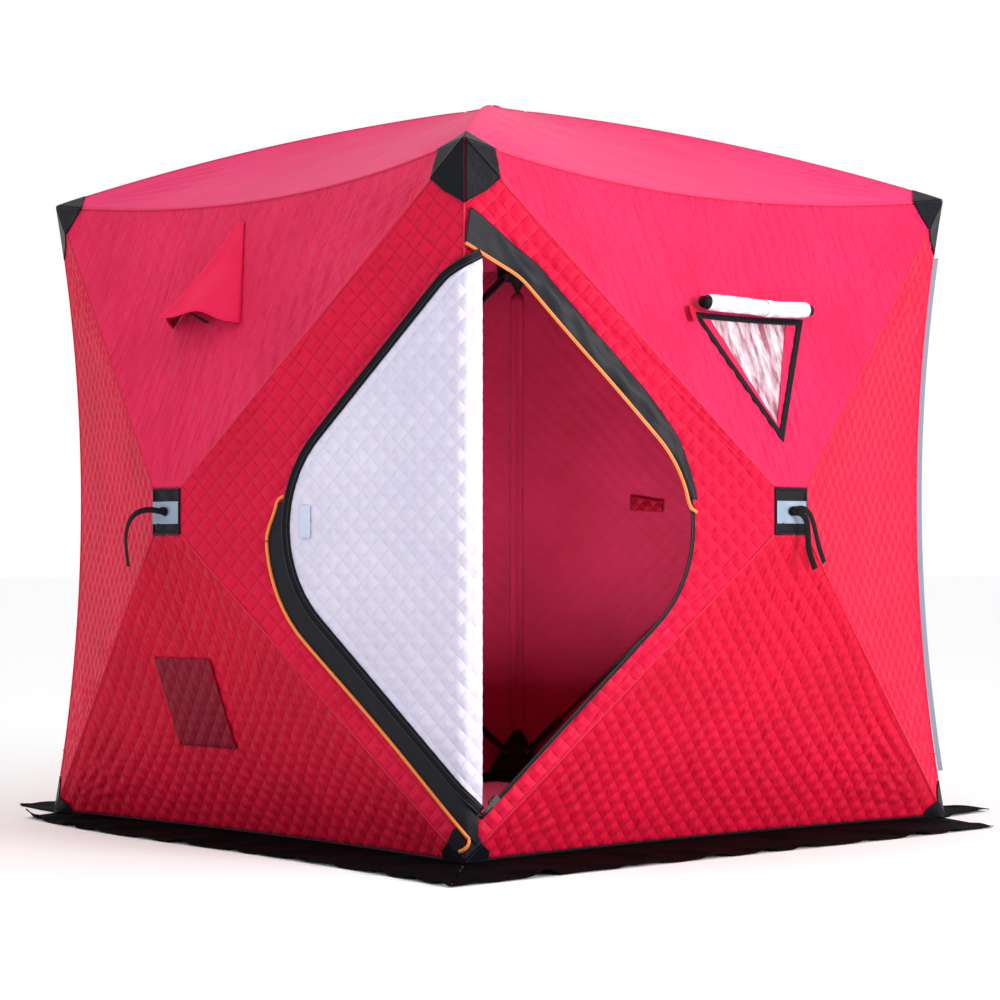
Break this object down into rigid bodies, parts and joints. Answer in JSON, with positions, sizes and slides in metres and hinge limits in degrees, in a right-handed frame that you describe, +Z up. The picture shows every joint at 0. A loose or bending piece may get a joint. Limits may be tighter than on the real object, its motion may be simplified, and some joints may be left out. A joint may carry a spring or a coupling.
{
  "type": "pop-up ice fishing shelter",
  "caption": "Square pop-up fishing shelter with quilted walls pushed out by hubs and poles, a folding side door, a window, a hooded vent and a ground skirt.",
  "frame": {"origin": "centre of the square footprint, on the ground", "axes": "+Z up; +X out through the wall with the door and the window, -Y out through the wall with the vent"},
  "size_m": [2.42, 2.42, 2.022],
  "materials": {
    "cloth_pink": "matte coated cloth",
    "cloth_red": "quilted cloth",
    "cloth_black": "woven black cloth",
    "lining_white": "quilted pale lining",
    "piping_orange": "orange piping",
    "reflective": "silver reflective tape",
    "clear_film": "clear film",
    "webbing": "black webbing",
    "hub_plastic": "moulded black",
    "steel_pin": "plain steel",
    "pole_glassfibre": "black glassfibre",
    "cup_rubber": "moulded black",
    "zip_metal": "black enamel"
  },
  "bodies": {
    "tent": {"roof_panels": "cloth_pink", "door_wall_panels": "cloth_red", "right_wall_panels": "cloth_red", "back_wall_panels": "cloth_red", "vent_wall_panels": "cloth_red", "snow_skirt": "cloth_black", "corner_patches": "cloth_black", "corner_cups": "cup_rubber", "reflective_edge": "reflective", "window_pane": "clear_film", "window_tape": "cloth_black", "window_cover_roll": "lining_white", "vent_hood": "cloth_red"},
    "door_frame": {"wall_storm_flap": "cloth_black", "wall_flap_piping": "piping_orange", "wall_zip_tape": "cloth_black"},
    "door_edge": {"door_edge_strip": "lining_white"},
    "door_leaf": {"door_panel": "lining_white", "door_zip_tape": "cloth_black", "door_storm_flap": "cloth_black", "door_flap_piping": "piping_orange"},
    "slider": {"zip_slider": "zip_metal"},
    "prop": {"vent_prop": "hub_plastic"},
    "door_wall_hub_group": {"door_wall_hub": "hub_plastic", "door_wall_hub_pins": "steel_pin", "door_wall_hub_patch": "cloth_black", "door_wall_strap": "webbing"},
    "door_wall_pole_top_left_group": {"door_wall_pole_top_left": "pole_glassfibre"},
    "door_wall_pole_top_right_group": {"door_wall_pole_top_right": "pole_glassfibre"},
    "door_wall_pole_bottom_left_group": {"door_wall_pole_bottom_left": "pole_glassfibre"},
    "door_wall_pole_bottom_right_group": {"door_wall_pole_bottom_right": "pole_glassfibre"},
    "right_wall_hub_group": {"right_wall_hub": "hub_plastic", "right_wall_hub_pins": "steel_pin", "right_wall_hub_patch": "cloth_black"},
    "right_wall_pole_top_left_group": {"right_wall_pole_top_left": "pole_glassfibre"},
    "right_wall_pole_top_right_group": {"right_wall_pole_top_right": "pole_glassfibre"},
    "right_wall_pole_bottom_left_group": {"right_wall_pole_bottom_left": "pole_glassfibre"},
    "right_wall_pole_bottom_right_group": {"right_wall_pole_bottom_right": "pole_glassfibre"},
    "back_wall_hub_group": {"back_wall_hub": "hub_plastic", "back_wall_hub_pins": "steel_pin", "back_wall_hub_patch": "cloth_black"},
    "back_wall_pole_top_left_group": {"back_wall_pole_top_left": "pole_glassfibre"},
    "back_wall_pole_top_right_group": {"back_wall_pole_top_right": "pole_glassfibre"},
    "back_wall_pole_bottom_left_group": {"back_wall_pole_bottom_left": "pole_glassfibre"},
    "back_wall_pole_bottom_right_group": {"back_wall_pole_bottom_right": "pole_glassfibre"},
    "vent_wall_hub_group": {"vent_wall_hub": "hub_plastic", "vent_wall_hub_pins": "steel_pin", "vent_wall_hub_patch": "cloth_black", "vent_wall_strap": "webbing"},
    "vent_wall_pole_top_left_group": {"vent_wall_pole_top_left": "pole_glassfibre"},
    "vent_wall_pole_top_right_group": {"vent_wall_pole_top_right": "pole_glassfibre"},
    "vent_wall_pole_bottom_left_group": {"vent_wall_pole_bottom_left": "pole_glassfibre"},
    "vent_wall_pole_bottom_right_group": {"vent_wall_pole_bottom_right": "pole_glassfibre"},
    "roof_hub_group": {"roof_hub": "hub_plastic", "roof_hub_pins": "steel_pin", "roof_hub_patch": "cloth_black"},
    "roof_pole_door_group": {"roof_pole_door": "pole_glassfibre"},
    "roof_pole_right_group": {"roof_pole_right": "pole_glassfibre"},
    "roof_pole_back_group": {"roof_pole_back": "pole_glassfibre"},
    "roof_pole_left_group": {"roof_pole_left": "pole_glassfibre"}
  },
  "joints": [
    {"name": "door_wall_hub_slide", "type": "slide", "parent": "tent", "child": "door_wall_hub_group", "axis": [-1, 0, 0], "range_m": [0, 0.24], "deforming": ["door_wall_panels", "window_pane", "window_tape", "window_cover_roll"]},
    {"name": "door_wall_pole_top_left_hinge", "type": "hinge", "parent": "door_wall_hub_group", "child": "door_wall_pole_top_left_group", "pos_m": [1.118, -0.01844, 0.87833], "axis": [0, 0.7049, 0.7093], "range_deg": [0, 12.13]},
    {"name": "door_wall_pole_top_right_hinge", "type": "hinge", "parent": "door_wall_hub_group", "child": "door_wall_pole_top_right_group", "pos_m": [1.118, 0.01844, 0.87833], "axis": [0, 0.7049, -0.7093], "range_deg": [0, 12.13]},
    {"name": "door_wall_pole_bottom_left_hinge", "type": "hinge", "parent": "door_wall_hub_group", "child": "door_wall_pole_bottom_left_group", "pos_m": [1.118, -0.0189, 0.84215], "axis": [0, -0.6866, 0.727], "range_deg": [0, 12.43]},
    {"name": "door_wall_pole_bottom_right_hinge", "type": "hinge", "parent": "door_wall_hub_group", "child": "door_wall_pole_bottom_right_group", "pos_m": [1.118, 0.0189, 0.84215], "axis": [0, -0.6866, -0.727], "range_deg": [0, 12.43]},
    {"name": "right_wall_hub_slide", "type": "slide", "parent": "tent", "child": "right_wall_hub_group", "axis": [0, -1, 0], "range_m": [0, 0.24], "deforming": ["right_wall_panels"]},
    {"name": "right_wall_pole_top_left_hinge", "type": "hinge", "parent": "right_wall_hub_group", "child": "right_wall_pole_top_left_group", "pos_m": [0.01844, 1.118, 0.87833], "axis": [-0.7049, 0, 0.7093], "range_deg": [0, 12.13]},
    {"name": "right_wall_pole_top_right_hinge", "type": "hinge", "parent": "right_wall_hub_group", "child": "right_wall_pole_top_right_group", "pos_m": [-0.01844, 1.118, 0.87833], "axis": [-0.7049, 0, -0.7093], "range_deg": [0, 12.13]},
    {"name": "right_wall_pole_bottom_left_hinge", "type": "hinge", "parent": "right_wall_hub_group", "child": "right_wall_pole_bottom_left_group", "pos_m": [0.0189, 1.118, 0.84215], "axis": [0.6866, 0, 0.727], "range_deg": [0, 12.43]},
    {"name": "right_wall_pole_bottom_right_hinge", "type": "hinge", "parent": "right_wall_hub_group", "child": "right_wall_pole_bottom_right_group", "pos_m": [-0.0189, 1.118, 0.84215], "axis": [0.6866, 0, -0.727], "range_deg": [0, 12.43]},
    {"name": "back_wall_hub_slide", "type": "slide", "parent": "tent", "child": "back_wall_hub_group", "axis": [1, 0, 0], "range_m": [0, 0.24], "deforming": ["back_wall_panels"]},
    {"name": "back_wall_pole_top_left_hinge", "type": "hinge", "parent": "back_wall_hub_group", "child": "back_wall_pole_top_left_group", "pos_m": [-1.118, 0.01844, 0.87833], "axis": [0, -0.7049, 0.7093], "range_deg": [0, 12.13]},
    {"name": "back_wall_pole_top_right_hinge", "type": "hinge", "parent": "back_wall_hub_group", "child": "back_wall_pole_top_right_group", "pos_m": [-1.118, -0.01844, 0.87833], "axis": [0, -0.7049, -0.7093], "range_deg": [0, 12.13]},
    {"name": "back_wall_pole_bottom_left_hinge", "type": "hinge", "parent": "back_wall_hub_group", "child": "back_wall_pole_bottom_left_group", "pos_m": [-1.118, 0.0189, 0.84215], "axis": [0, 0.6866, 0.727], "range_deg": [0, 12.43]},
    {"name": "back_wall_pole_bottom_right_hinge", "type": "hinge", "parent": "back_wall_hub_group", "child": "back_wall_pole_bottom_right_group", "pos_m": [-1.118, -0.0189, 0.84215], "axis": [0, 0.6866, -0.727], "range_deg": [0, 12.43]},
    {"name": "vent_wall_hub_slide", "type": "slide", "parent": "tent", "child": "vent_wall_hub_group", "axis": [0, 1, 0], "range_m": [0, 0.24], "deforming": ["vent_wall_panels", "vent_hood"]},
    {"name": "vent_wall_pole_top_left_hinge", "type": "hinge", "parent": "vent_wall_hub_group", "child": "vent_wall_pole_top_left_group", "pos_m": [-0.01844, -1.118, 0.87833], "axis": [0.7049, 0, 0.7093], "range_deg": [0, 12.13]},
    {"name": "vent_wall_pole_top_right_hinge", "type": "hinge", "parent": "vent_wall_hub_group", "child": "vent_wall_pole_top_right_group", "pos_m": [0.01844, -1.118, 0.87833], "axis": [0.7049, 0, -0.7093], "range_deg": [0, 12.13]},
    {"name": "vent_wall_pole_bottom_left_hinge", "type": "hinge", "parent": "vent_wall_hub_group", "child": "vent_wall_pole_bottom_left_group", "pos_m": [-0.0189, -1.118, 0.84215], "axis": [-0.6866, 0, 0.727], "range_deg": [0, 12.43]},
    {"name": "vent_wall_pole_bottom_right_hinge", "type": "hinge", "parent": "vent_wall_hub_group", "child": "vent_wall_pole_bottom_right_group", "pos_m": [0.0189, -1.118, 0.84215], "axis": [-0.6866, 0, -0.727], "range_deg": [0, 12.43]},
    {"name": "roof_hub_slide", "type": "slide", "parent": "tent", "child": "roof_hub_group", "axis": [0, 0, -1], "range_m": [0, 0.272], "deforming": ["roof_panels"]},
    {"name": "roof_pole_door_hinge", "type": "hinge", "parent": "roof_hub_group", "child": "roof_pole_door_group", "pos_m": [0.01838, -0.01838, 1.996], "axis": [-0.7071, -0.7071, 0], "range_deg": [0, 13.65]},
    {"name": "roof_pole_right_hinge", "type": "hinge", "parent": "roof_hub_group", "child": "roof_pole_right_group", "pos_m": [0.01838, 0.01838, 1.996], "axis": [0.7071, -0.7071, 0], "range_deg": [0, 13.65]},
    {"name": "roof_pole_back_hinge", "type": "hinge", "parent": "roof_hub_group", "child": "roof_pole_back_group", "pos_m": [-0.01838, 0.01838, 1.996], "axis": [0.7071, 0.7071, 0], "range_deg": [0, 13.65]},
    {"name": "roof_pole_left_hinge", "type": "hinge", "parent": "roof_hub_group", "child": "roof_pole_left_group", "pos_m": [-0.01838, -0.01838, 1.996], "axis": [-0.7071, 0.7071, 0], "range_deg": [0, 13.65]},
    {"name": "door_frame_turn", "type": "hinge", "parent": "tent", "child": "door_frame", "pos_m": [0.9, -0.9, 0], "axis": [0, 0, 1], "range_deg": [0, 16], "deforming": ["door_wall_panels"]},
    {"name": "door_swing", "type": "hinge", "parent": "door_frame", "child": "door_edge", "pos_m": [0.92056, -0.85908, 0], "axis": [0, 0, 1], "range_deg": [0, 180]},
    {"name": "door_fold", "type": "hinge", "parent": "door_edge", "child": "door_leaf", "pos_m": [0.90687, -0.90687, 0], "axis": [0, 0, 1], "range_deg": [0, 58.06]},
    {"name": "zip_slide", "type": "slide", "parent": "door_frame", "child": "slider", "axis": [0.1997, 0.6973, 0.6884], "range_m": [0, 0.55]},
    {"name": "vent_prop_hinge", "type": "hinge", "parent": "tent", "child": "prop", "pos_m": [-0.05, -0.97554, 1.36233], "axis": [-1, 0, 0], "range_deg": [0, 75]}
  ],
  "couplings": [
    {"joint": "door_wall_pole_top_left_hinge", "follows": "door_wall_hub_slide", "rad_per_m": 0.88076},
    {"joint": "door_wall_pole_top_right_hinge", "follows": "door_wall_hub_slide", "rad_per_m": 0.88076},
    {"joint": "door_wall_pole_bottom_left_hinge", "follows": "door_wall_hub_slide", "rad_per_m": 0.9025},
    {"joint": "door_wall_pole_bottom_right_hinge", "follows": "door_wall_hub_slide", "rad_per_m": 0.9025},
    {"joint": "right_wall_pole_top_left_hinge", "follows": "right_wall_hub_slide", "rad_per_m": 0.88076},
    {"joint": "right_wall_pole_top_right_hinge", "follows": "right_wall_hub_slide", "rad_per_m": 0.88076},
    {"joint": "right_wall_pole_bottom_left_hinge", "follows": "right_wall_hub_slide", "rad_per_m": 0.9025},
    {"joint": "right_wall_pole_bottom_right_hinge", "follows": "right_wall_hub_slide", "rad_per_m": 0.9025},
    {"joint": "back_wall_pole_top_left_hinge", "follows": "back_wall_hub_slide", "rad_per_m": 0.88076},
    {"joint": "back_wall_pole_top_right_hinge", "follows": "back_wall_hub_slide", "rad_per_m": 0.88076},
    {"joint": "back_wall_pole_bottom_left_hinge", "follows": "back_wall_hub_slide", "rad_per_m": 0.9025},
    {"joint": "back_wall_pole_bottom_right_hinge", "follows": "back_wall_hub_slide", "rad_per_m": 0.9025},
    {"joint": "vent_wall_pole_top_left_hinge", "follows": "vent_wall_hub_slide", "rad_per_m": 0.88076},
    {"joint": "vent_wall_pole_top_right_hinge", "follows": "vent_wall_hub_slide", "rad_per_m": 0.88076},
    {"joint": "vent_wall_pole_bottom_left_hinge", "follows": "vent_wall_hub_slide", "rad_per_m": 0.9025},
    {"joint": "vent_wall_pole_bottom_right_hinge", "follows": "vent_wall_hub_slide", "rad_per_m": 0.9025},
    {"joint": "roof_pole_door_hinge", "follows": "roof_hub_slide", "rad_per_m": 0.87483},
    {"joint": "roof_pole_right_hinge", "follows": "roof_hub_slide", "rad_per_m": 0.87483},
    {"joint": "roof_pole_back_hinge", "follows": "roof_hub_slide", "rad_per_m": 0.87483},
    {"joint": "roof_pole_left_hinge", "follows": "roof_hub_slide", "rad_per_m": 0.87483},
    {"joint": "door_frame_turn", "follows": "door_wall_hub_slide", "rad_per_m": 1.1622},
    {"joint": "door_fold", "follows": "door_swing", "ratio": 0.32243}
  ]
}
